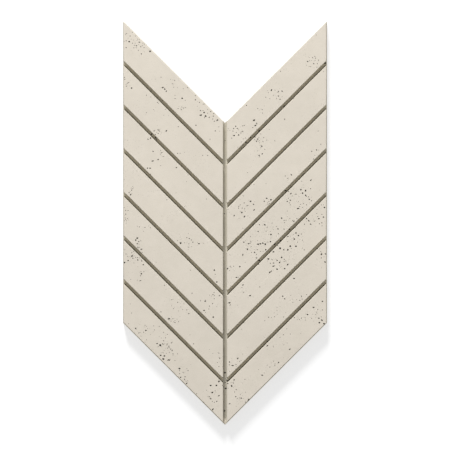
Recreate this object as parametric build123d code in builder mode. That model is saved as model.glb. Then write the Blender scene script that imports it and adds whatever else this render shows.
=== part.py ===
"""Chevron wall panel, cast in one piece of concrete.

Two runs of sloping strips meet at a spine groove down the middle, so that the outline is an arrow:
a notch at one end and a point at the other, which fits the notch of the next panel on the wall.
The panel lies on its back with the strips facing up. The spine runs along Y, the point faces -Y,
and the origin is on the back, at the centre of the outline's bounding box.
"""

import math
import os

from build123d import *

# Driving sizes, in millimetres and degrees.
panel_width = 400.0  # across the back, between the two straight sides
thickness = 20.0  # from the back to the face of the strips
chevron_angle = 45.0  # slope of the strips, measured from square to the spine
strips_per_side = 7
strip_width = 53.5  # across a strip's face, square to its length
groove_width = 7.0  # mouth of a groove between two strips, square to its length
spine_width = 8.0  # mouth of the groove along the spine
groove_depth = 8.0
side_draft = 5.0  # slope of the outer sides, so that the panel leaves its mould
groove_draft = 5.0  # slope of the groove walls, for the same reason
outline_radius = 1.0  # the six upright corners of the outline
strip_radius = 1.0  # corners of the strips beside the spine, seen from the face
lip_radius = 0.6  # soft edge where a strip's face turns down
floor_radius = 1.0  # hollow where a groove's wall meets its floor

# Sizes that follow from them.
slope = math.tan(math.radians(chevron_angle))
rise = 1 / math.cos(math.radians(chevron_angle))  # length along Y of one unit across a strip
face_inset = thickness * math.tan(math.radians(side_draft))
pitch = strip_width + groove_width
face_reach = strips_per_side * strip_width + (strips_per_side - 1) * groove_width
side_length = (face_reach + 2 * face_inset) * rise
half_width = panel_width / 2
point_depth = half_width * slope
half_mouth = groove_width * rise / 2  # of a sloping groove, measured along Y
floor_level = thickness - groove_depth
run_out = half_width + thickness  # how far the grooves are cut to each side, past the slab

# Rounding takes a little off the point and off the two horns beside the notch.
point_half_angle = math.radians(90 - chevron_angle)
point_loss = outline_radius * (1 / math.sin(point_half_angle) - 1)
horn_loss = outline_radius * (1 / math.tan(point_half_angle / 2) - 1)
panel_length = side_length + point_depth - point_loss - horn_loss
point_y = -panel_length / 2 - point_loss  # where the two slopes of the point would meet
horn_y = panel_length / 2 + horn_loss  # where a side and a slope of the notch would meet


def groove_line(number):
    """Height along Y at which the centre line of a groove, counted from the point, meets the spine."""
    across = face_inset + number * pitch - groove_width / 2
    return point_y + across * rise


def beside_spine(vertex):
    """True for a corner of the net's plan that stands beside the spine groove, away from its ends."""
    return abs(vertex.X) < spine_width and abs(vertex.Y) < panel_length / 2


# The net of grooves as a solid of its own, to cut with: the spine, and a sloping groove between
# each two strips. It stands proud of the face by as much as it goes below it, and its walls turn
# about the face when they are drafted, so that each mouth keeps its width there.
with BuildPart() as groove_net:
    with BuildSketch(Plane.XY.offset(floor_level)) as net_plan:
        Rectangle(spine_width, panel_length + 2 * thickness)
        for number in range(1, strips_per_side):
            level = groove_line(number)
            for side in (1, -1):
                with BuildLine():
                    Polyline(
                        (0, level - half_mouth),
                        (side * run_out, level - half_mouth + run_out * slope),
                        (side * run_out, level + half_mouth + run_out * slope),
                        (0, level + half_mouth),
                        close=True,
                    )
                make_face()
        fillet(net_plan.vertices().filter_by(beside_spine), strip_radius)
    extrude(amount=2 * groove_depth)
    net_walls = groove_net.faces().filter_by(Plane.XY, reverse=True)
    draft(net_walls, Plane.XY.offset(thickness), -groove_draft)
    net_floor = groove_net.faces().sort_by(Axis.Z)[0]
    fillet(net_floor.edges(), floor_radius)

with BuildPart() as panel:
    # The slab, drafted inwards from its back to its face.
    with BuildSketch():
        with BuildLine():
            Polyline(
                (0, point_y),
                (half_width, point_y + point_depth),
                (half_width, horn_y),
                (0, horn_y - point_depth),
                (-half_width, horn_y),
                (-half_width, point_y + point_depth),
                close=True,
            )
        make_face()
    extrude(amount=thickness)
    draft(panel.faces().filter_by(Plane.XY, reverse=True), Plane.XY, side_draft)
    fillet(panel.edges().filter_by(Plane.XY, reverse=True), outline_radius)

    # The grooves, and a soft lip round the face of every strip that they leave.
    add(groove_net.part, mode=Mode.SUBTRACT)
    strip_faces = panel.faces().filter_by(Plane.XY).group_by(Axis.Z)[-1]
    fillet(strip_faces.edges(), lip_radius)

panel.part.label = "panel"
os.makedirs("parts", exist_ok=True)
export_step(panel.part, "parts/panel.step")
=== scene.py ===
"""Chevron wall panel of cast concrete, lying on its back on a white floor, seen from straight above."""

import math
import random

import bmesh
import bpy
from mathutils import Matrix, Vector, noise
from mathutils.bvhtree import BVHTree

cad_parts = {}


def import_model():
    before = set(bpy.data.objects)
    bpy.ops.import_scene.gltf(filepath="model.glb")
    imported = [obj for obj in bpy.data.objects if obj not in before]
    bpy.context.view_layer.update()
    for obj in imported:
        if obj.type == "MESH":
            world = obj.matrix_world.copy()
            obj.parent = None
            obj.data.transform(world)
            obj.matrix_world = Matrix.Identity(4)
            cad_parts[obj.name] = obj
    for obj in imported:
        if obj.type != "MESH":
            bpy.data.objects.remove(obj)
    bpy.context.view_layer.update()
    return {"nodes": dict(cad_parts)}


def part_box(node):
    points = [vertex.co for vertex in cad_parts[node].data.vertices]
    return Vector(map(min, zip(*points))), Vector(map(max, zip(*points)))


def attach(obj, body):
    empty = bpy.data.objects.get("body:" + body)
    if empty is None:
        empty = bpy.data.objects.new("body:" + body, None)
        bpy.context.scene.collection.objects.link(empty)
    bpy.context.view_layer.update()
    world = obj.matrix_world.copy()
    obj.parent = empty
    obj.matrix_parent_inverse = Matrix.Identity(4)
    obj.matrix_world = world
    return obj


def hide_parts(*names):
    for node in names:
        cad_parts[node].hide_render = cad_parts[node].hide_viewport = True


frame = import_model()

MM = 0.001  # everything in Blender is in metres

# The panel: its box comes from the frame, and the sizes inside the box are those of the solid.
PANEL = frame["nodes"]["panel"]
LOW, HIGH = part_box("panel")
FACE_LEVEL = HIGH.z
THICKNESS = HIGH.z - LOW.z
LIP_DEPTH = 0.6 * MM
HALF_WIDTH = HIGH.x
SIDE_DRAFT = 5  # degrees
FACE_INSET = THICKNESS * math.tan(math.radians(SIDE_DRAFT))  # the drafted sides bring the face in by this
STRIPS = 7
STRIP_WIDTH = 53.5 * MM
GROOVE_WIDTH = 7 * MM
PITCH = STRIP_WIDTH + GROOVE_WIDTH
SPINE_WIDTH = 8 * MM
RISE = math.sqrt(2)  # length along Y of one unit across a strip, at 45 degrees
FACE_REACH = STRIPS * PITCH - GROOVE_WIDTH
OUTLINE_RADIUS = 1 * MM
ROUND_LOSS = (math.sqrt(2) - 1) * OUTLINE_RADIUS  # the round point falls short of its sharp corner by this
POINT_Y = LOW.y - ROUND_LOSS

# What the camera sees: the picture is square, and this wide at the panel's back.
VIEW_WIDTH = 0.8834
VIEW_CENTRE = (0.0, -0.0044)
CAMERA_HEIGHT = 14.0
SENSOR = 36.0

# Light: one wide soft lamp low beyond the notch, a little to the left, and an even surround.
LAMP_DISTANCE = 9.5
LAMP_ELEVATION = 23.0  # degrees
LAMP_TO_LEFT = 9.0  # degrees
LAMP_SIZE = (2.2, 2.4)
LAMP_SHARE = 0.625  # of the light that falls on the face; the surround gives the rest
SURROUND_SHARE = 0.39

# The floor: half its width, its gap to the panel's back, and how white it is. The camera sees a mix
# of the lit floor, with the panel's shadow, and a plain glow.
FLOOR_HALF = 20.0
FLOOR_GAP = 0.05 * MM
FLOOR_WHITE = 0.98
FLOOR_LIT_SHARE = 0.5
FLOOR_GLOW = 1.25

# The cast face waves a little, because the mould does, and the trowelled back waves more.
CELL = 9 * MM  # face and back are cut into squares of about this size
FADE = 15 * MM  # the waves reach their full height this far inside an edge
FACE_WAVE = (0.08 * MM, 70 * MM)  # height and length
BACK_WAVE = (0.5 * MM, 45 * MM)
HAIR = 0.001 * MM  # what counts as nothing when points are compared
FLAT_ANGLE = math.radians(0.05)  # faces that turn less than this become one
SHARP_ANGLE = math.radians(28)  # an edge that turns more than this is shaded as a sharp one
SPECK_CORNERS = 12  # a loose piece with fewer corners is a speck that cutting has left

# Patches where very small air pores crowd, in millimetres: centre, half lengths along X and Y, how many.
PATCHES = (
    # Left of the spine, from the notch down.
    (-178, 350, 20, 20, 26),
    (-82, 224, 14, 4, 9),
    (-46, 228, 14, 16, 10),
    (-24, 208, 11, 13, 9),
    (-102, 275, 6, 7, 4),
    (-135, 232, 20, 20, 7),
    (-190, 275, 7, 12, 5),
    (-133, 179, 9, 6, 9),
    (-124, 136, 6, 9, 6),
    (-184, 62, 7, 10, 7),
    (-194, 14, 6, 17, 9),
    (-157, -12, 12, 8, 7),
    (-168, -48, 9, 16, 14),
    (-180, -66, 17, 14, 18),
    (-170, -97, 14, 14, 8),
    (-72, -42, 22, 12, 14),
    (-30, -105, 15, 16, 4),
    (-32, -165, 17, 22, 12),
    (-88, -165, 18, 16, 9),
    (-100, -190, 13, 7, 10),
    (-147, -212, 40, 12, 22),
    (-117, -245, 20, 24, 44),
    (-80, -298, 10, 16, 12),
    (-24, -335, 17, 26, 18),
    (-14, -268, 9, 16, 8),
    # In and beside the spine groove, above the point.
    (1, -310, 5, 22, 8),
    # Right of the spine, from the notch down.
    (170, 318, 14, 13, 8),
    (95, 252, 18, 12, 6),
    (69, 220, 8, 8, 5),
    (23, 178, 18, 14, 16),
    (59, 192, 5, 10, 5),
    (66, 152, 12, 20, 12),
    (35, 160, 10, 9, 6),
    (126, 88, 6, 8, 4),
    (180, 140, 12, 16, 5),
    (146, 56, 26, 26, 34),
    (40, 28, 24, 19, 26),
    (82, 43, 10, 9, 8),
    (125, 5, 17, 9, 7),
    (90, -8, 14, 8, 7),
    (178, 13, 22, 22, 20),
    (62, -50, 30, 20, 26),
    (128, -38, 24, 24, 22),
    (104, -78, 24, 23, 26),
    (85, -20, 14, 12, 8),
    (17, -97, 13, 13, 5),
    (191, -62, 9, 17, 12),
    (40, -133, 11, 13, 5),
    (8, -160, 5, 9, 5),
    (135, -147, 27, 11, 10),
    (98, -180, 22, 16, 9),
    (147, -187, 15, 5, 4),
    (178, -175, 19, 25, 14),
    (135, -109, 9, 4, 3),
    (18, -278, 13, 14, 14),
    (16, -318, 8, 12, 10),
    (30, -349, 20, 9, 12),
    (90, -285, 22, 14, 8),
    (103, -243, 30, 9, 7),
    (125, -220, 22, 10, 6),
)

# Large pores, in millimetres and degrees: place on X and Y, length, width, turn of the length from X.
LARGE_PORES = (
    # Left of the spine, strip by strip from the notch down.
    (-188, 355, 4.4, 4.0, 0),
    (-186, 366, 3.2, 2.8, 0),
    (-168, 354, 4.2, 3.0, 0),
    (-147, 336, 5.2, 4.2, 10),
    (-164, 331, 3.4, 3.0, 0),
    (-122, 265, 5.2, 3.8, 20),
    (-118, 262, 5.2, 3.6, -50),
    (-115, 258, 4.2, 3.0, 20),
    (-84, 244, 5.0, 4.2, 0),
    (-73, 265, 3.4, 2.8, 0),
    (-58, 241, 3.6, 3.4, 0),
    (-48, 220, 3.6, 3.2, 0),
    (-41, 216, 4.8, 3.6, -30),
    (-47, 211, 5.0, 4.4, 0),
    (-38, 209, 5.4, 4.6, 10),
    (-28, 218, 3.4, 3.0, 0),
    (-22, 214, 3.4, 2.6, -30),
    (-15, 201, 5.2, 3.8, 30),
    (-57, 191, 3.8, 3.0, -30),
    (-19, 180, 3.6, 3.4, 0),
    (-183, 264, 4.2, 3.6, 20),
    (-115, 180, 5.2, 3.4, 55),
    (-146, 166, 4.8, 3.8, 40),
    (-151, 164, 4.6, 2.8, -35),
    (-144, 174, 4.8, 3.8, 0),
    (-136, 167, 5.0, 4.0, 40),
    (-141, 140, 4.4, 2.8, -40),
    (-142, 121, 7.0, 2.8, 10),
    (-131, 124, 4.8, 3.6, 35),
    (-152, 107, 4.0, 3.4, 0),
    (-147, 107, 5.4, 2.6, 0),
    (-125, 137, 3.4, 2.8, 0),
    (-185, 55, 5.0, 3.2, 50),
    (-183, 64, 3.6, 3.0, 40),
    (-172, -30, 5.6, 4.0, 10),
    (-175, -34, 5.0, 3.6, 60),
    (-164, -52, 4.8, 4.0, 30),
    (-172, -41, 3.8, 3.4, 0),
    (-169, -37, 3.8, 3.0, 30),
    (-87, -40, 5.2, 4.8, 0),
    (-70, -31, 3.6, 3.0, -30),
    (-63, -38, 3.8, 3.0, 40),
    (-51, -41, 4.0, 3.6, 0),
    (-21, -93, 4.4, 4.2, 0),
    (-16, -116, 4.0, 3.6, 20),
    (-182, -65, 5.6, 3.6, 50),
    (-197, -78, 5.0, 4.0, 60),
    (-190, -74, 4.0, 3.4, 0),
    (-160, -82, 4.2, 3.6, 0),
    (-164, -100, 4.2, 3.6, 0),
    (-39, -154, 4.2, 3.4, -20),
    (-41, -172, 4.2, 3.6, 20),
    (-23, -185, 4.2, 4.0, 0),
    (-11, -143, 3.8, 3.4, 0),
    (-110, -188, 5.2, 4.0, 50),
    (-71, -178, 3.6, 3.0, 40),
    (-175, -207, 4.4, 3.4, 40),
    (-155, -211, 4.0, 3.4, 0),
    (-127, -240, 6.0, 5.2, 0),
    (-133, -237, 5.4, 2.8, 20),
    (-110, -242, 3.8, 3.2, 0),
    (-137, -259, 5.0, 3.8, -40),
    (-126, -260, 4.8, 4.2, 0),
    (-119, -261, 4.8, 4.0, 0),
    (-121, -267, 5.4, 4.4, -20),
    (-110, -269, 6.4, 3.6, -10),
    (-89, -286, 5.6, 3.8, 0),
    (-87, -303, 4.2, 3.4, 40),
    (-78, -302, 3.6, 3.2, 0),
    (-75, -315, 4.8, 3.2, 40),
    (-12, -311, 5.4, 4.4, 60),
    (-28, -319, 5.0, 4.4, 0),
    (-17, -319, 4.4, 4.0, 0),
    (-25, -333, 4.2, 3.8, 0),
    (-12, -339, 5.6, 2.8, 40),
    (-28, -345, 4.0, 3.2, 0),
    (-16, -350, 4.0, 3.4, 30),
    (-24, -366, 6.4, 3.4, 55),
    # In the spine groove.
    (0, -294, 5.0, 4.4, 0),
    (4, -310, 5.0, 4.2, -20),
    (1, -325, 5.2, 4.0, 20),
    (-1, -369, 4.6, 4.2, 0),
    (0, 161, 3.8, 3.6, 0),
    (-1, 18, 3.8, 3.6, 0),
    # Right of the spine, strip by strip from the notch down.
    (196, 313, 5.6, 5.0, 0),
    (162, 316, 4.0, 3.4, 0),
    (174, 312, 3.8, 3.0, 30),
    (91, 260, 6.4, 3.2, 70),
    (112, 258, 4.4, 3.2, -20),
    (105, 248, 3.6, 3.0, 0),
    (108, 242, 3.6, 3.2, 0),
    (57, 201, 6.0, 4.6, 30),
    (62, 195, 4.0, 3.0, -20),
    (60, 191, 4.0, 3.8, 0),
    (42, 230, 3.2, 2.8, 0),
    (21, 189, 4.0, 3.0, -60),
    (24, 185, 3.6, 3.2, 0),
    (35, 179, 3.6, 3.0, 0),
    (18, 171, 4.4, 3.4, 20),
    (27, 172, 4.2, 3.4, 0),
    (67, 180, 5.4, 4.2, 30),
    (50, 167, 5.0, 3.6, 40),
    (41, 158, 5.0, 4.0, 0),
    (35, 153, 5.4, 3.8, 40),
    (116, 229, 4.4, 4.0, 0),
    (64, 164, 4.0, 3.2, 0),
    (62, 160, 4.4, 3.4, 20),
    (72, 150, 4.6, 3.6, 0),
    (73, 135, 4.0, 3.0, 40),
    (67, 132, 4.0, 3.4, 0),
    (117, 203, 3.4, 3.2, 0),
    (130, 94, 4.6, 2.8, -40),
    (170, 140, 3.4, 3.0, 0),
    (174, 125, 3.8, 3.0, 30),
    (50, 42, 5.0, 3.8, 30),
    (56, 36, 4.4, 2.8, -40),
    (33, 20, 4.8, 4.4, 0),
    (38, 12, 5.6, 3.2, 60),
    (18, 14, 5.0, 2.8, 60),
    (82, 48, 4.2, 3.4, 0),
    (90, 45, 4.8, 4.0, 30),
    (57, 25, 4.6, 3.2, 40),
    (77, 42, 4.0, 3.0, 0),
    (119, 63, 6.2, 3.2, 0),
    (168, 83, 4.0, 3.2, -30),
    (149, 65, 4.8, 4.6, 0),
    (158, 63, 5.4, 4.0, 90),
    (152, 58, 4.4, 3.6, -20),
    (158, 54, 4.2, 3.4, -20),
    (139, 56, 3.6, 3.0, 0),
    (129, 57, 5.6, 2.8, 60),
    (128, 44, 4.0, 3.6, 0),
    (122, 42, 4.0, 3.4, 0),
    (143, 28, 6.0, 3.6, 15),
    (165, 46, 4.0, 3.6, 0),
    (111, 9, 4.8, 3.6, -40),
    (135, 3, 5.4, 2.8, 60),
    (78, -4, 4.6, 3.6, -20),
    (195, 30, 4.6, 4.2, 0),
    (193, 11, 4.2, 3.6, 0),
    (184, 8, 4.2, 3.4, 0),
    (160, 8, 4.4, 2.8, -50),
    (164, 4, 5.6, 3.2, -50),
    (168, -3, 4.6, 2.8, -50),
    (104, -12, 4.2, 3.2, 0),
    (90, -23, 4.2, 3.6, 0),
    (65, -17, 3.8, 3.2, 0),
    (65, -42, 6.2, 3.4, 0),
    (69, -41, 4.6, 3.4, 10),
    (74, -40, 4.8, 3.4, -50),
    (79, -42, 4.8, 4.0, 20),
    (89, -37, 4.0, 3.6, 0),
    (44, -52, 4.8, 4.4, 0),
    (46, -41, 4.0, 3.6, 0),
    (37, -38, 4.4, 3.0, -30),
    (58, -58, 4.2, 3.6, 0),
    (62, -69, 4.0, 3.4, 0),
    (35, -63, 6.2, 2.8, 85),
    (80, -53, 5.0, 3.6, 50),
    (97, -42, 6.2, 5.0, 20),
    (109, -35, 4.4, 3.4, 40),
    (127, -13, 5.2, 3.6, 40),
    (67, -74, 5.2, 3.8, 0),
    (108, -50, 6.4, 4.8, -35),
    (123, -53, 6.0, 4.0, 90),
    (128, -46, 4.8, 4.4, 0),
    (139, -46, 4.8, 4.2, 0),
    (136, -32, 4.4, 4.0, 0),
    (139, -20, 4.4, 3.8, 0),
    (144, -25, 4.2, 3.0, -20),
    (123, -27, 5.2, 3.2, 20),
    (115, -53, 4.2, 3.4, 0),
    (95, -57, 4.8, 3.8, 20),
    (111, -68, 4.6, 4.0, 0),
    (85, -71, 5.2, 4.2, 40),
    (102, -74, 4.4, 3.2, 0),
    (107, -78, 4.8, 3.2, 45),
    (123, -82, 5.0, 3.2, 50),
    (95, -85, 7.0, 3.0, 10),
    (102, -91, 5.0, 4.0, -10),
    (117, -90, 4.4, 3.8, -20),
    (88, -97, 6.0, 3.4, 40),
    (5, -90, 4.4, 3.6, -20),
    (29, -86, 4.2, 3.4, 30),
    (23, -107, 3.8, 3.4, 0),
    (49, -143, 5.4, 3.2, 0),
    (35, -122, 4.0, 3.2, 40),
    (9, -157, 5.2, 3.6, 20),
    (189, -62, 4.6, 4.2, 0),
    (197, -61, 4.2, 3.4, 0),
    (196, -77, 4.8, 3.4, -60),
    (113, -144, 4.6, 2.8, -40),
    (117, -149, 4.4, 3.0, -30),
    (135, -109, 6.2, 2.6, -5),
    (173, -166, 4.0, 3.6, 0),
    (191, -154, 4.2, 3.8, 0),
    (184, -187, 4.2, 3.4, 0),
    (190, -191, 5.2, 3.6, -35),
    (185, -196, 4.8, 4.0, 0),
    (194, -198, 5.0, 4.0, -30),
    (162, -180, 4.0, 3.6, 0),
    (25, -266, 5.6, 3.2, 45),
    (9, -273, 4.8, 3.4, -20),
    (15, -280, 6.8, 2.8, 0),
    (13, -320, 5.8, 3.4, -40),
    (18, -308, 4.4, 3.2, 40),
    (21, -341, 3.8, 3.2, 0),
    (32, -344, 4.2, 3.2, 0),
    (46, -347, 7.0, 3.0, 50),
    (9, -355, 5.2, 2.8, 10),
    (73, -299, 5.8, 3.0, -20),
    (105, -274, 4.2, 3.4, 20),
    (127, -248, 5.0, 3.4, 50),
    (83, -241, 5.8, 2.8, 40),
)

# Single small pores, in millimetres.
SMALL_PORES = (
    # Left of the spine, strip by strip from the notch down.
    (-195, 369), (-198, 356), (-193, 357), (-175, 366), (-161, 352), (-158, 350), (-181, 352),
    (-178, 348), (-176, 352), (-173, 347), (-174, 343), (-169, 349), (-165, 345), (-170, 338),
    (-184, 360), (-179, 358), (-171, 360), (-190, 362), (-168, 359), (-162, 347),
    (-107, 281), (-102, 272), (-98, 250), (-82, 263), (-78, 240), (-58, 249), (-50, 236),
    (-54, 228), (-34, 222), (-23, 209), (-21, 199), (-12, 188), (-92, 224), (-86, 222), (-78, 226),
    (-197, 285), (-194, 271), (-188, 275), (-154, 250), (-140, 222), (-154, 216), (-130, 234),
    (-117, 222), (-120, 211), (-93, 136), (-88, 136), (-44, 132), (-34, 132), (-96, 108), (-75, 81),
    (-144, 260), (-129, 241), (-107, 218), (-139, 181), (-134, 177), (-128, 182), (-131, 175),
    (-126, 142), (-121, 130), (-126, 112), (-181, 71), (-188, 59), (-114, 45),
    (-197, 30), (-190, 24), (-195, 17), (-191, 8), (-197, 4), (-194, -1), (-168, -8), (-157, -9),
    (-171, -48), (-162, -58), (-93, -35), (-75, -29), (-71, -48), (-68, -93), (-19, -101),
    (-44, -97), (-95, -133), (-48, -267), (-179, -56), (-197, -53), (-191, -66),
    (-175, -68), (-171, -72), (-167, -69), (-164, -73), (-159, -96), (-185, -111),
    (-105, -151), (-102, -150), (-105, -163), (-83, -170), (-75, -171),
    (-106, -193), (-102, -188), (-98, -196), (-94, -189), (-91, -194),
    (-48, -153), (-32, -169), (-16, -164), (-21, -149),
    (-183, -177), (-189, -198), (-169, -216), (-154, -203), (-140, -202), (-129, -203),
    (-113, -219), (-125, -226), (-121, -255), (-115, -256), (-109, -254), (-102, -257),
    (-98, -270), (-89, -290), (-89, -296), (-73, -310), (-24, -256), (-12, -256), (-12, -282),
    (-33, -340), (-21, -352), (-42, -352), (-5, -319), (-1, -313), (5, -315),
    # Right of the spine, strip by strip from the notch down.
    (179, 368), (160, 309), (165, 324), (170, 318), (176, 326), (180, 305), (183, 319), (168, 306),
    (109, 297), (80, 246), (85, 255), (88, 243), (95, 250), (98, 260), (101, 244), (104, 256),
    (112, 247), (64, 224), (73, 222), (74, 215), (38, 191), (6, 185), (40, 166), (13, 166), (25, 148),
    (70, 174), (58, 163), (60, 168), (66, 167), (68, 161), (65, 160), (58, 167), (76, 167),
    (82, 162), (78, 144), (193, 296), (123, 87), (176, 132), (188, 154), (27, 32), (6, 26),
    (198, 141), (59, 5), (55, -3), (76, 22), (170, 32), (145, 52), (134, 66), (126, 39),
    (128, 35), (152, 30), (148, 36), (154, 38), (160, 35), (141, 8), (101, -7), (35, -11),
    (189, 35), (175, 3), (185, -2), (156, -3), (190, -6), (50, -27), (84, -38), (64, -35),
    (52, -58), (64, -53), (70, -56), (75, -56), (62, -62), (82, -56), (142, -38), (129, -57),
    (93, -73), (116, -76), (91, -95), (13, -88), (21, -107), (26, -107), (37, -136), (7, -157),
    (186, -50), (194, -67), (133, -156), (150, -144), (160, -141), (102, -166), (102, -172),
    (91, -186), (78, -192), (115, -185), (182, -170), (191, -171), (178, -180),
    (136, -186), (143, -185), (150, -187), (157, -186), (108, -225), (128, -218),
    (98, -277), (83, -279), (9, -291), (22, -327),
)
SMALL_LENGTH = (1.7 * MM, 2.5 * MM)  # shortest and longest of them

# The photograph's blur makes a pore look larger than it is, and hides some of the smallest. So the large
# ones are cut at a share of the size in their list, and a patch gets some more than its number.
LARGE_SCALE = 0.81
SMALL_CROWD = 1.1

# Very small pores: the shortest, and how much longer the longest is, in millimetres.
TINY_LENGTH = (1.0, 1.7)
PATCH_SPREAD = 0.6  # they lie round the middle of a patch, with this share of its half length as deviation

# How many of them lie anywhere on the face, on the edges of strips, on the outer sides and on the back.
LOOSE_PORES = 150
EDGE_CHIPS = 60
SIDE_PORES = 90
BACK_PORES = 70

# Rays find the places on the outer sides. They start one metre out, clear of the edges in height, and
# aim this near to the panel's middle, in metres along X and Y.
SIDE_AIM = (0.1, 0.3)
SIDE_MARGIN = 0.1 * THICKNESS

# The shape of a pore.
PORE_WIDTH = (0.7, 1.0)  # of a small one, as a share of its length
TINY_WIDTH = (0.65, 1.0)  # the same for a very small one
PORE_DEPTH = (0.9, 1.3)  # half its depth, as a share of the mean of half its length and half its width
PORE_SINK = (0.2, 0.5)  # how far its middle lies below the surface, as a share of half its depth
FINE_FROM = 1.6 * MM  # above this half length it has finer facets
SWELL = 0.35  # how uneven it is
SWELL_SCALE = 1.4
APART = 1.25  # two pores that are cut at once are at least this many times their reach apart
PASSES = 3  # of cutting
SEED = 7

# Noise scales, in waves per metre, and the values of the noise between which one tone turns to another.
CLOUD_SCALE = 7.0
MOTTLE_SCALE = 45.0
GRAIN_SCALE = 700.0
CLOUD_SPAN = (0.35, 0.65)
GRAIN_SPAN = (0.3, 0.7)

# Pinholes: the centres of small cells, where a wider noise is high.
PINHOLE_SCALE = 260.0
PINHOLE_EDGE = (0.10, 0.20)  # a pinhole ends between these shares of a cell
PLACES_SCALE = 22.0  # of the wider noise
PLACES_SPAN = (0.52, 0.62)

# Heights of the relief that is left to bump.
GRAIN_RELIEF = 0.10 * MM
MOTTLE_RELIEF = 0.2 * MM
PINHOLE_RELIEF = 0.35 * MM
BUMP_STRENGTH = 0.6

# The concrete's tone, and what is left of it in the paler and darker parts of clouds, mottling and sand.
TONE = (0.716, 0.658, 0.571)
WHITE = (1.0, 1.0, 1.0, 1.0)
CLOUD_TONES = (0.98, 1.015)
MOTTLE_TONES = ((0.98, 0.98, 0.975, 1.0), (1.015, 1.015, 1.015, 1.0))
SAND_TONES = ((0.93, 0.93, 0.92, 1.0), (1.05, 1.05, 1.05, 1.0))
# Painted shade in the pinholes, as a share of the tone.
PINHOLE_PAINTED_SHADE = 0.45
BACK_TONE = 0.9
HALF_MIX = 0.5  # how much of these two tones shows
ROUGHNESS = (0.82, 0.95)
SPECULAR = 0.25

# Painted shade, painted light and the outer sides' tones, as what is left of the tone.
GROOVE_PAINTED_LIGHT = (1.10, 1.10, 1.01, 1.0)  # painted light: paler floors in the sloping grooves
GROOVE_PAINTED_SHADE = (0.34, 0.34, 0.30, 1.0)  # painted shade at their lower sides
SPINE_PAINTED_SHADE = (0.86, 0.87, 0.84, 1.0)  # painted shade in the spine groove
SPINE_STREAK_PAINTED_SHADE = (0.52, 0.52, 0.47, 1.0)  # painted shade, darker still, in a streak down the spine groove
SPINE_FOOT_PAINTED_SHADE = (0.84, 0.84, 0.84, 1.0)  # painted shade: what is left of both of those towards the point
SPINE_MOUTH_PAINTED_LIGHT = (0.95, 0.95, 0.92, 1.0)  # painted light where the spine groove runs out at the point
RAW_SIDE = (0.86, 0.84, 0.74, 1.0)  # the right side and the slopes of the point
# Painted shade on the left side.
LEFT_SIDE_PAINTED_SHADE = (0.70, 0.70, 0.68, 1.0)
NOTCH_SIDE_PAINTED_SHADE = (0.76, 0.80, 0.87, 1.0)  # painted shade, a little blue, on the two slopes of the notch
PORE_PAINTED_SHADE = (0.17, 0.16, 0.14, 1.0)  # painted shade at the bottom of a pore

# Where the painted shade, painted light and the other tones lie.
PORE_SHADE_FADE = (0.10 * MM, 0.80 * MM)  # the painted shade in a pore darkens between these depths
BACK_FADE = (0.4 * MM, 1.2 * MM)  # the back's tone ends between these heights
SHADE_BAND = (0.18, 0.42)  # shares of a groove's width, up from its lower edge, where painted shade turns to painted light
STREAK_SHIFT = 0.02 * SPINE_WIDTH  # how far the streak of painted shade in the spine groove lies to the left
STREAK_HALF = 0.3 * SPINE_WIDTH  # half its width
SPINE_FADE = (0.45 * SPINE_WIDTH, 0.55 * SPINE_WIDTH)  # out from the middle, where its painted shade gives way
MOUTH_FADE = (0.5 * SPINE_WIDTH, SPINE_WIDTH)  # up from the point, over which the painted light at the mouth fades
FOOT_FADE = (0.6 * LOW.y, 0.4 * HIGH.y)  # up along the spine, over which the painted shade at the foot fades
LIP_FADE = (3 * LIP_DEPTH, 0.5 * LIP_DEPTH)  # depths between which the painted shade and light end at a lip
SIDE_BLUR = 0.1 * MM  # to each side of the line where a side's own tone starts


def lamp_place():
    """Where the lamp stands, from its distance and angles."""
    level = LAMP_DISTANCE * math.cos(math.radians(LAMP_ELEVATION))
    turn = math.radians(LAMP_TO_LEFT)
    height = LAMP_DISTANCE * math.sin(math.radians(LAMP_ELEVATION))
    return Vector((-level * math.sin(turn), level * math.cos(turn), height))


def add_camera():
    data = bpy.data.cameras.new("camera")
    data.sensor_width = SENSOR
    data.lens = SENSOR * CAMERA_HEIGHT / VIEW_WIDTH
    data.clip_end = 4 * CAMERA_HEIGHT
    camera = bpy.data.objects.new("camera", data)
    camera.location = (*VIEW_CENTRE, CAMERA_HEIGHT)
    bpy.context.scene.collection.objects.link(camera)
    bpy.context.scene.camera = camera


def add_lamp():
    """The soft lamp, at the power that gives the face its share of the light.

    A lamp of P watts sends P / (pi r r) straight ahead, and a colour shows as written where pi arrives.
    """
    place = lamp_place()
    data = bpy.data.lights.new("soft_lamp", "AREA")
    data.shape = "RECTANGLE"
    data.size, data.size_y = LAMP_SIZE
    falls = math.sin(math.radians(LAMP_ELEVATION))
    data.energy = LAMP_SHARE * math.pi * math.pi * LAMP_DISTANCE**2 / falls
    lamp = bpy.data.objects.new("soft_lamp", data)
    lamp.location = place
    lamp.rotation_mode = "QUATERNION"
    lamp.rotation_quaternion = (-place).to_track_quat("-Z", "Y")
    lamp.visible_camera = False
    bpy.context.scene.collection.objects.link(lamp)


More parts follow.
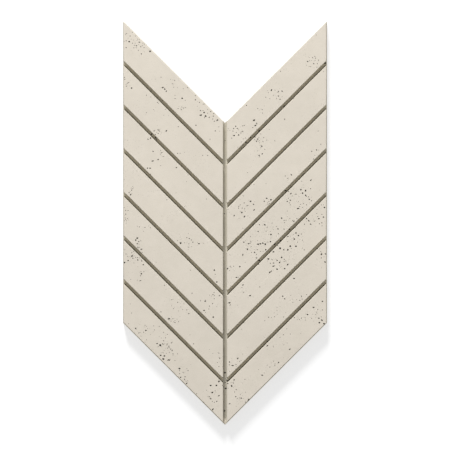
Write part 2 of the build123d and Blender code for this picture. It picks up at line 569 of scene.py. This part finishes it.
class Nodes:
    """A short way to write a node tree: make a node, set its inputs, link what is a socket.

    An input is named, or is counted as i0, i1 and so on where several share a name.
    """

    def __init__(self, tree):
        self.tree = tree
        tree.nodes.clear()

    def add(self, kind, settings=None, **inputs):
        node = self.tree.nodes.new(kind)
        for name, value in (settings or {}).items():
            setattr(node, name, value)
        for name, value in inputs.items():
            self.feed(node, name.replace("_", " "), value)
        return node

    def feed(self, node, name, value):
        counted = name[0] == "i" and name[1:].isdigit()
        socket = node.inputs[int(name[1:]) if counted else name]
        if isinstance(value, bpy.types.NodeSocket):
            self.tree.links.new(value, socket)
        else:
            socket.default_value = value

    def noise(self, where, scale, detail=2.0, roughness=0.5, distortion=0.0):
        node = self.add("ShaderNodeTexNoise", Vector=where, Scale=scale, Detail=detail,
                        Roughness=roughness, Distortion=distortion)
        return node.outputs["Fac"]

    def span(self, value, low, high, new_low, new_high):
        """value, from low..high to new_low..new_high, held at both ends."""
        node = self.add("ShaderNodeMapRange", i0=value, i1=low, i2=high, i3=new_low, i4=new_high)
        return node.outputs["Result"]

    def math(self, operation, first, second=0.0):
        node = self.add("ShaderNodeMath", {"operation": operation}, i0=first, i1=second)
        return node.outputs[0]

    def tint(self, factor, below, above):
        """A colour between below and above."""
        node = self.add("ShaderNodeMix", {"data_type": "RGBA"}, Factor=factor, A=below, B=above)
        return node.outputs[2]


def see_white(material, plain, lit_share, glow):
    """Mixes a glow into what the camera and mirrors see of a surface. Its light on others stays as it is."""
    nodes = Nodes(material.node_tree)
    output = nodes.add("ShaderNodeOutputMaterial")
    lit = nodes.add("ShaderNodeBsdfDiffuse", Color=(plain, plain, plain, 1.0))
    path = nodes.add("ShaderNodeLightPath")
    seen = nodes.math("ADD", path.outputs["Is Camera Ray"], path.outputs["Is Glossy Ray"])
    seen = nodes.math("ADD", seen, path.outputs["Is Transmission Ray"])
    white = nodes.add("ShaderNodeEmission", Color=WHITE, Strength=glow)
    share = nodes.math("MULTIPLY", seen, 1.0 - lit_share)
    mix = nodes.add("ShaderNodeMixShader", Fac=share, i1=lit.outputs[0], i2=white.outputs[0])
    nodes.feed(output, "Surface", mix.outputs[0])


def add_floor():
    mesh = bpy.data.meshes.new("floor")
    corners = [(x * FLOOR_HALF, y * FLOOR_HALF, 0) for x, y in ((-1, -1), (1, -1), (1, 1), (-1, 1))]
    mesh.from_pydata(corners, [], [(0, 1, 2, 3)])
    floor = bpy.data.objects.new("floor", mesh)
    floor.location.z = LOW.z - FLOOR_GAP
    bpy.context.scene.collection.objects.link(floor)
    material = bpy.data.materials.new("floor_white")
    material.use_nodes = True
    see_white(material, FLOOR_WHITE, FLOOR_LIT_SHARE, FLOOR_GLOW)
    mesh.materials.append(material)


def add_surround():
    world = bpy.data.worlds.new("surround")
    bpy.context.scene.world = world
    world.use_nodes = True
    nodes = Nodes(world.node_tree)
    output = nodes.add("ShaderNodeOutputWorld")
    path = nodes.add("ShaderNodeLightPath")
    strength = nodes.span(path.outputs["Is Camera Ray"], 0.0, 1.0, SURROUND_SHARE, 1.0)
    even = nodes.add("ShaderNodeBackground", Color=WHITE, Strength=strength)
    nodes.feed(output, "Surface", even.outputs[0])


def scaled(tone, factor):
    """A tone as a colour, paler or darker by a factor."""
    return tuple(part * factor for part in tone) + (1.0,)


def multiply(nodes, first, second, factor=1.0):
    """The first colour times the second, or as much of that as the factor says."""
    settings = {"data_type": "RGBA", "blend_type": "MULTIPLY"}
    return nodes.add("ShaderNodeMix", settings, Factor=factor, A=first, B=second).outputs[2]


def mottled(nodes, where):
    """The noise that both the mottling of the tone and its relief follow."""
    return nodes.noise(where, MOTTLE_SCALE, detail=4.0, roughness=0.6)


def cloudy_tone(nodes, where, grain):
    """The cast face: soft clouds, finer mottling and sand."""
    clouds = nodes.noise(where, CLOUD_SCALE, detail=3.0, distortion=0.4)
    clouds = nodes.span(clouds, *CLOUD_SPAN, 0.0, 1.0)
    mottling = nodes.span(mottled(nodes, where), *CLOUD_SPAN, 0.0, 1.0)
    sand = nodes.span(grain, *GRAIN_SPAN, 0.0, 1.0)
    colour = nodes.tint(clouds, *(scaled(TONE, factor) for factor in CLOUD_TONES))
    colour = multiply(nodes, colour, nodes.tint(mottling, *MOTTLE_TONES))
    return multiply(nodes, colour, nodes.tint(sand, *SAND_TONES))


def pinholes(nodes, where):
    """The centres of small cells, in some places only."""
    cells = nodes.add("ShaderNodeTexVoronoi", Vector=where, Scale=PINHOLE_SCALE).outputs["Distance"]
    places = nodes.span(nodes.noise(where, PLACES_SCALE), *PLACES_SPAN, 0.0, 1.0)
    return nodes.math("MULTIPLY", nodes.span(cells, *PINHOLE_EDGE, 1.0, 0.0), places)


def groove_painted_shade_and_light(nodes, run, x, y):
    """Painted shade and painted light in the grooves. run is the way up from the face's lower edge, square to
    the strips.
    """
    # Painted shade at the lower side of a sloping groove, painted light above it.
    offset = nodes.math("FLOORED_MODULO", run, PITCH)
    shade_until, light_from = (STRIP_WIDTH + share * GROOVE_WIDTH for share in SHADE_BAND)
    low_side = nodes.span(offset, shade_until, light_from, 1.0, 0.0)
    sloping = nodes.tint(low_side, GROOVE_PAINTED_LIGHT, GROOVE_PAINTED_SHADE)

    # Painted shade in the spine groove, darkest in a streak near its middle.
    from_streak = nodes.math("ABSOLUTE", nodes.math("ADD", x, STREAK_SHIFT))
    from_streak = nodes.span(from_streak, 0.0, STREAK_HALF, 0.0, 1.0)
    upright = nodes.tint(from_streak, SPINE_STREAK_PAINTED_SHADE, SPINE_PAINTED_SHADE)
    # Painted shade in the spine groove towards the point.
    high = nodes.span(y, *FOOT_FADE, 0.0, 1.0)
    upright = multiply(nodes, upright, nodes.tint(high, SPINE_FOOT_PAINTED_SHADE, WHITE))
    # Painted light where the spine groove runs out at the point.
    mouth = nodes.span(run, *MOUTH_FADE, 1.0, 0.0)
    upright = nodes.tint(mouth, upright, SPINE_MOUTH_PAINTED_LIGHT)

    aside = nodes.math("ABSOLUTE", x)
    beside = nodes.span(aside, *SPINE_FADE, 0.0, 1.0)
    return nodes.tint(beside, upright, sloping)


def with_painted_shade(nodes, where, colour):
    """The cast tone with painted shade and light in the grooves, and a tone for the outer sides: painted
    shade on the left side and the notch's slopes.
    """
    place = nodes.add("ShaderNodeSeparateXYZ", Vector=where)
    x, y, height = (place.outputs[axis] for axis in "XYZ")
    aside = nodes.math("ABSOLUTE", x)
    rise = nodes.math("SUBTRACT", nodes.math("SUBTRACT", y, aside), POINT_Y)
    run = nodes.math("SUBTRACT", nodes.math("DIVIDE", rise, RISE), FACE_INSET)

    def past(value, line):
        """One where the value lies past a line, and zero before it."""
        return nodes.span(value, line - SIDE_BLUR, line + SIDE_BLUR, 0.0, 1.0)

    def before(value, line):
        """The other way round."""
        return nodes.span(value, line - SIDE_BLUR, line + SIDE_BLUR, 1.0, 0.0)

    edge = HALF_WIDTH - FACE_INSET
    notch = past(run, FACE_REACH)
    outer = nodes.math("MAXIMUM", past(aside, edge), before(run, 0.0))
    outer = nodes.math("MAXIMUM", outer, notch)
    # Painted shade and light in the grooves, ending at the lips and the outer sides.
    deep = nodes.span(height, *(FACE_LEVEL - depth for depth in LIP_FADE), 1.0, 0.0)
    grooves = nodes.math("MULTIPLY", deep, nodes.math("SUBTRACT", 1.0, outer))
    colour = multiply(nodes, colour, groove_painted_shade_and_light(nodes, run, x, y), grooves)
    # Painted shade on the left side and the notch's slopes; the right side and the point's slopes have a tone
    # of their own.
    side = nodes.tint(notch, nodes.tint(before(x, -edge), RAW_SIDE, LEFT_SIDE_PAINTED_SHADE), NOTCH_SIDE_PAINTED_SHADE)
    return multiply(nodes, colour, side, outer)


def concrete(name, in_pores=False):
    """Fine cast concrete. Inside a pore it darkens with depth, as painted shade."""
    material = bpy.data.materials.new(name)
    material.use_nodes = True
    nodes = Nodes(material.node_tree)
    output = nodes.add("ShaderNodeOutputMaterial")
    where = nodes.add("ShaderNodeTexCoord").outputs["Object"]
    height = nodes.add("ShaderNodeSeparateXYZ", Vector=where).outputs["Z"]
    grain = nodes.noise(where, GRAIN_SCALE, detail=3.0, roughness=0.7)
    colour = cloudy_tone(nodes, where, grain)
    relief = nodes.math("MULTIPLY", grain, GRAIN_RELIEF)
    relief = nodes.math("ADD", relief, nodes.math("MULTIPLY", mottled(nodes, where), MOTTLE_RELIEF))
    if in_pores:
        # Painted shade that deepens towards the bottom of a pore.
        rim = nodes.span(height, FACE_LEVEL - PORE_SHADE_FADE[1], FACE_LEVEL - PORE_SHADE_FADE[0], 0.0, 1.0)
        colour = multiply(nodes, colour, nodes.tint(rim, PORE_PAINTED_SHADE, WHITE))
    else:
        hole = pinholes(nodes, where)
        # Painted shade in the pinholes.
        colour = nodes.tint(nodes.math("MULTIPLY", hole, HALF_MIX), colour, scaled(TONE, PINHOLE_PAINTED_SHADE))
        relief = nodes.math("SUBTRACT", relief, nodes.math("MULTIPLY", hole, PINHOLE_RELIEF))
        # Painted shade and light in the grooves, and painted shade on the left side and the notch's slopes.
        colour = with_painted_shade(nodes, where, colour)
        at_back = nodes.span(height, *BACK_FADE, 1.0, 0.0)
        colour = nodes.tint(nodes.math("MULTIPLY", at_back, HALF_MIX), colour, scaled(TONE, BACK_TONE))
    roughness = nodes.span(grain, *GRAIN_SPAN, *ROUGHNESS)
    bump = nodes.add("ShaderNodeBump", Strength=BUMP_STRENGTH, Distance=1.0, Height=relief)
    surface = nodes.add("ShaderNodeBsdfPrincipled", Base_Color=colour, Roughness=roughness)
    nodes.feed(surface, "Specular IOR Level", SPECULAR)
    nodes.feed(surface, "Normal", bump.outputs[0])
    nodes.feed(output, "Surface", surface.outputs[0])
    return material


def across(x, y):
    """How far a point on the face lies from the face's lower edge, square to the strips."""
    return (y - abs(x) - POINT_Y) / RISE - FACE_INSET


def from_edge(x, y):
    """How far a point lies inside the edges of its strip's face: below zero in a groove or past a side."""
    number = min(max(math.floor(across(x, y) / PITCH), 0), STRIPS - 1)
    offset = across(x, y) - number * PITCH
    return min(offset, STRIP_WIDTH - offset, abs(x) - SPINE_WIDTH / 2, HALF_WIDTH - FACE_INSET - abs(x))


def from_outline(x, y):
    """The same for the back, which has no grooves."""
    offset = across(x, y) + FACE_INSET
    return min(offset, FACE_REACH + 2 * FACE_INSET - offset, HALF_WIDTH - abs(x))


def wave(x, y, size, inside):
    """How far the surface sinks at a point: never outwards, and not at all at its edge."""
    height, length = size
    ripple = 0.5 + 0.5 * noise.noise(Vector((x, y, 0)) / length)
    return height * ripple * min(max(inside / FADE, 0), 1)


def slab_mesh():
    """The panel's own faces, with face and back cut into cells that wave."""
    mesh = bmesh.new()
    mesh.from_mesh(PANEL.data)
    bmesh.ops.remove_doubles(mesh, verts=mesh.verts, dist=HAIR)
    bmesh.ops.dissolve_limit(mesh, angle_limit=FLAT_ANGLE, verts=mesh.verts, edges=mesh.edges)
    geometry = {}  # keeps the order of its parts, as a set doesn't
    for face in mesh.faces:
        levels = [vertex.co.z for vertex in face.verts]
        if min(levels) > FACE_LEVEL - HAIR or max(levels) < LOW.z + HAIR:
            geometry.update(dict.fromkeys((face, *face.edges, *face.verts)))
    geometry = list(geometry)
    for axis in (0, 1):
        square = Vector((axis == 0, axis == 1, 0))
        count = math.ceil((HIGH[axis] - LOW[axis]) / CELL)
        for number in range(1, count):
            place = square * (LOW[axis] + number * (HIGH[axis] - LOW[axis]) / count)
            cut = bmesh.ops.bisect_plane(mesh, geom=geometry, dist=HAIR, plane_co=place, plane_no=square)
            geometry = cut["geom"]
    for vertex in mesh.verts:
        x, y, z = vertex.co
        if z > FACE_LEVEL - HAIR:
            vertex.co.z -= wave(x, y, FACE_WAVE, from_edge(x, y))
        elif z < LOW.z + HAIR:
            vertex.co.z += wave(x, y, BACK_WAVE, from_outline(x, y))
    return mesh


class Pores:
    """Gathers pores: each is its middle, the way in, half length, half width, half depth and turn."""

    def __init__(self, surface, draw):
        self.surface = surface
        self.draw = draw
        self.found = []

    def sink(self, start, aim, length, width, turn):
        """Sinks a pore where a ray hits: its middle a little below the surface, so that its rim overhangs."""
        place, outward = self.surface.ray_cast(start, aim)[:2]
        if place is None:
            return
        into = -outward
        half_depth = 0.5 * (length + width) / 2 * self.draw.uniform(*PORE_DEPTH)
        middle = place + into * half_depth * self.draw.uniform(*PORE_SINK)
        self.found.append((middle, into, length / 2, width / 2, half_depth, turn))

    def from_above(self, x, y, length, width, turn):
        start = Vector((x, y, HIGH.z + THICKNESS))
        self.sink(start, Vector((0, 0, -1)), length, width, turn)

    def tiny_size(self):
        """Length, width and turn of a very small pore. Most are near the shortest."""
        shortest, spread = TINY_LENGTH
        length = (shortest + spread * self.draw.random() ** 2) * MM
        return length, length * self.draw.uniform(*TINY_WIDTH), self.draw.uniform(0, math.pi)

    def add_listed(self):
        """The large and small ones that are listed one by one."""
        for x, y, length, width, turn in LARGE_PORES:
            size = (LARGE_SCALE * length * MM, LARGE_SCALE * width * MM)
            self.from_above(x * MM, y * MM, *size, math.radians(turn))
        for x, y in SMALL_PORES:
            length = self.draw.uniform(*SMALL_LENGTH)
            width = length * self.draw.uniform(*PORE_WIDTH)
            self.from_above(x * MM, y * MM, length, width, self.draw.uniform(0, math.pi))

    def add_patches(self):
        for x, y, half_x, half_y, count in PATCHES:
            for _ in range(round(SMALL_CROWD * count)):
                at_x = self.draw.gauss(x, PATCH_SPREAD * half_x) * MM
                at_y = self.draw.gauss(y, PATCH_SPREAD * half_y) * MM
                self.from_above(at_x, at_y, *self.tiny_size())

    def add_loose(self):
        """Single ones all over the face."""
        for _ in range(LOOSE_PORES):
            x = self.draw.uniform(LOW.x, HIGH.x)
            self.from_above(x, self.draw.uniform(LOW.y, HIGH.y), *self.tiny_size())

    def add_chips(self):
        """Small chips in the sloping edges of the strips."""
        for _ in range(EDGE_CHIPS):
            number = self.draw.randrange(STRIPS)
            edge = number * PITCH + self.draw.choice((0.0, STRIP_WIDTH))
            x = self.draw.uniform(LOW.x, HIGH.x)
            self.from_above(x, POINT_Y + abs(x) + (edge + FACE_INSET) * RISE, *self.tiny_size())

    def add_sides(self):
        for _ in range(SIDE_PORES):
            turn = self.draw.uniform(0, 2 * math.pi)
            level = self.draw.uniform(LOW.z + SIDE_MARGIN, HIGH.z - SIDE_MARGIN)
            start = Vector((math.cos(turn), math.sin(turn), level))
            aim = Vector([self.draw.uniform(-reach, reach) for reach in SIDE_AIM] + [level])
            self.sink(start, (aim - start).normalized(), *self.tiny_size())

    def add_back(self):
        for _ in range(BACK_PORES):
            x = self.draw.uniform(LOW.x, HIGH.x)
            start = Vector((x, self.draw.uniform(LOW.y, HIGH.y), LOW.z - THICKNESS))
            self.sink(start, Vector((0, 0, 1)), *self.tiny_size())


def pore_list(surface, draw):
    """Every pore, always in the same order, so that the draw gives the same ones each time."""
    pores = Pores(surface, draw)
    pores.add_listed()
    pores.add_patches()
    pores.add_loose()
    pores.add_chips()
    pores.add_sides()
    pores.add_back()
    return pores.found


def sort_apart(pores):
    """Shares the pores out so that no two in one share touch. One that fits in no share is left out."""
    shares = [[] for _ in range(PASSES)]
    for pore in pores:
        reach = max(pore[2:5])
        for share in shares:
            if all((pore[0] - other[0]).length > APART * (reach + max(other[2:5])) for other in share):
                share.append(pore)
                break
    return shares


def hollows(name, pores, draw):
    """One closed, uneven blob for each pore, to cut with."""
    mesh = bmesh.new()
    for place, into, half_length, half_width, half_depth, turn in pores:
        steps = 2 if half_length > FINE_FROM else 1
        made = bmesh.ops.create_icosphere(mesh, subdivisions=steps, radius=1.0)
        lie = into.to_track_quat("-Z", "Y").to_matrix().to_4x4() @ Matrix.Rotation(turn, 4, "Z")
        lie = Matrix.Translation(place) @ lie @ Matrix.Diagonal((half_length, half_width, half_depth, 1))
        other = Vector([draw.uniform(0, 100) for _ in range(3)])
        for vertex in made["verts"]:
            swell = 1 + SWELL * noise.noise(vertex.co * SWELL_SCALE + other)
            vertex.co = lie @ (vertex.co * swell)
    data = bpy.data.meshes.new(name)
    mesh.to_mesh(data)
    mesh.free()
    for polygon in data.polygons:
        polygon.material_index = 1
    return bpy.data.objects.new(name, data)


def cut_out(panel, cutter):
    """Cuts one object out of the panel's mesh for good."""
    bpy.context.scene.collection.objects.link(cutter)
    cut = panel.modifiers.new("pores", "BOOLEAN")
    cut.operation = "DIFFERENCE"
    cut.solver = "MANIFOLD"
    cut.object = cutter
    graph = bpy.context.evaluated_depsgraph_get()
    panel.data = bpy.data.meshes.new_from_object(panel.evaluated_get(graph))
    panel.modifiers.clear()
    bpy.data.objects.remove(cutter)


def specks(mesh):
    """The corners of the loose specks that cutting leaves."""
    seen = set()
    found = []
    for start in mesh.verts:
        if start in seen:
            continue
        seen.add(start)
        island = [start]
        for vertex in island:
            for edge in vertex.link_edges:
                other = edge.other_vert(vertex)
                if other not in seen:
                    seen.add(other)
                    island.append(other)
        if len(island) < SPECK_CORNERS:
            found += island
    return found


def finish_mesh(data):
    """Takes out the specks and marks which edges are shaded as sharp ones."""
    mesh = bmesh.new()
    mesh.from_mesh(data)
    bmesh.ops.delete(mesh, geom=specks(mesh), context="VERTS")
    for face in mesh.faces:
        face.smooth = True
    for edge in mesh.edges:
        edge.smooth = edge.calc_face_angle(0.0) < SHARP_ANGLE
    mesh.to_mesh(data)
    mesh.free()
    data.update()


def add_panel():
    """The cast panel: the frame's own shape, waved a little, with its air pores cut out."""
    draw = random.Random(SEED)
    mesh = slab_mesh()
    surface = BVHTree.FromBMesh(mesh)
    data = bpy.data.meshes.new("cast_panel")
    mesh.to_mesh(data)
    mesh.free()
    data.materials.clear()
    data.materials.append(concrete("cast_concrete"))
    # The pores' walls take a material with painted shade deep inside.
    data.materials.append(concrete("pore_concrete_painted_shade", in_pores=True))
    panel = bpy.data.objects.new("cast_panel", data)
    bpy.context.scene.collection.objects.link(panel)

    for number, share in enumerate(sort_apart(pore_list(surface, draw))):
        cut_out(panel, hollows(f"hollows_{number}", share, draw))
    finish_mesh(panel.data)
    panel.data.name = "cast_panel"
    even = panel.modifiers.new("even_normals", "WEIGHTED_NORMAL")
    even.keep_sharp = True
    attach(panel, "root")
    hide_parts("panel")


bpy.context.scene.view_settings.view_transform = "Standard"
add_camera()
add_lamp()
add_floor()
add_surround()
add_panel()
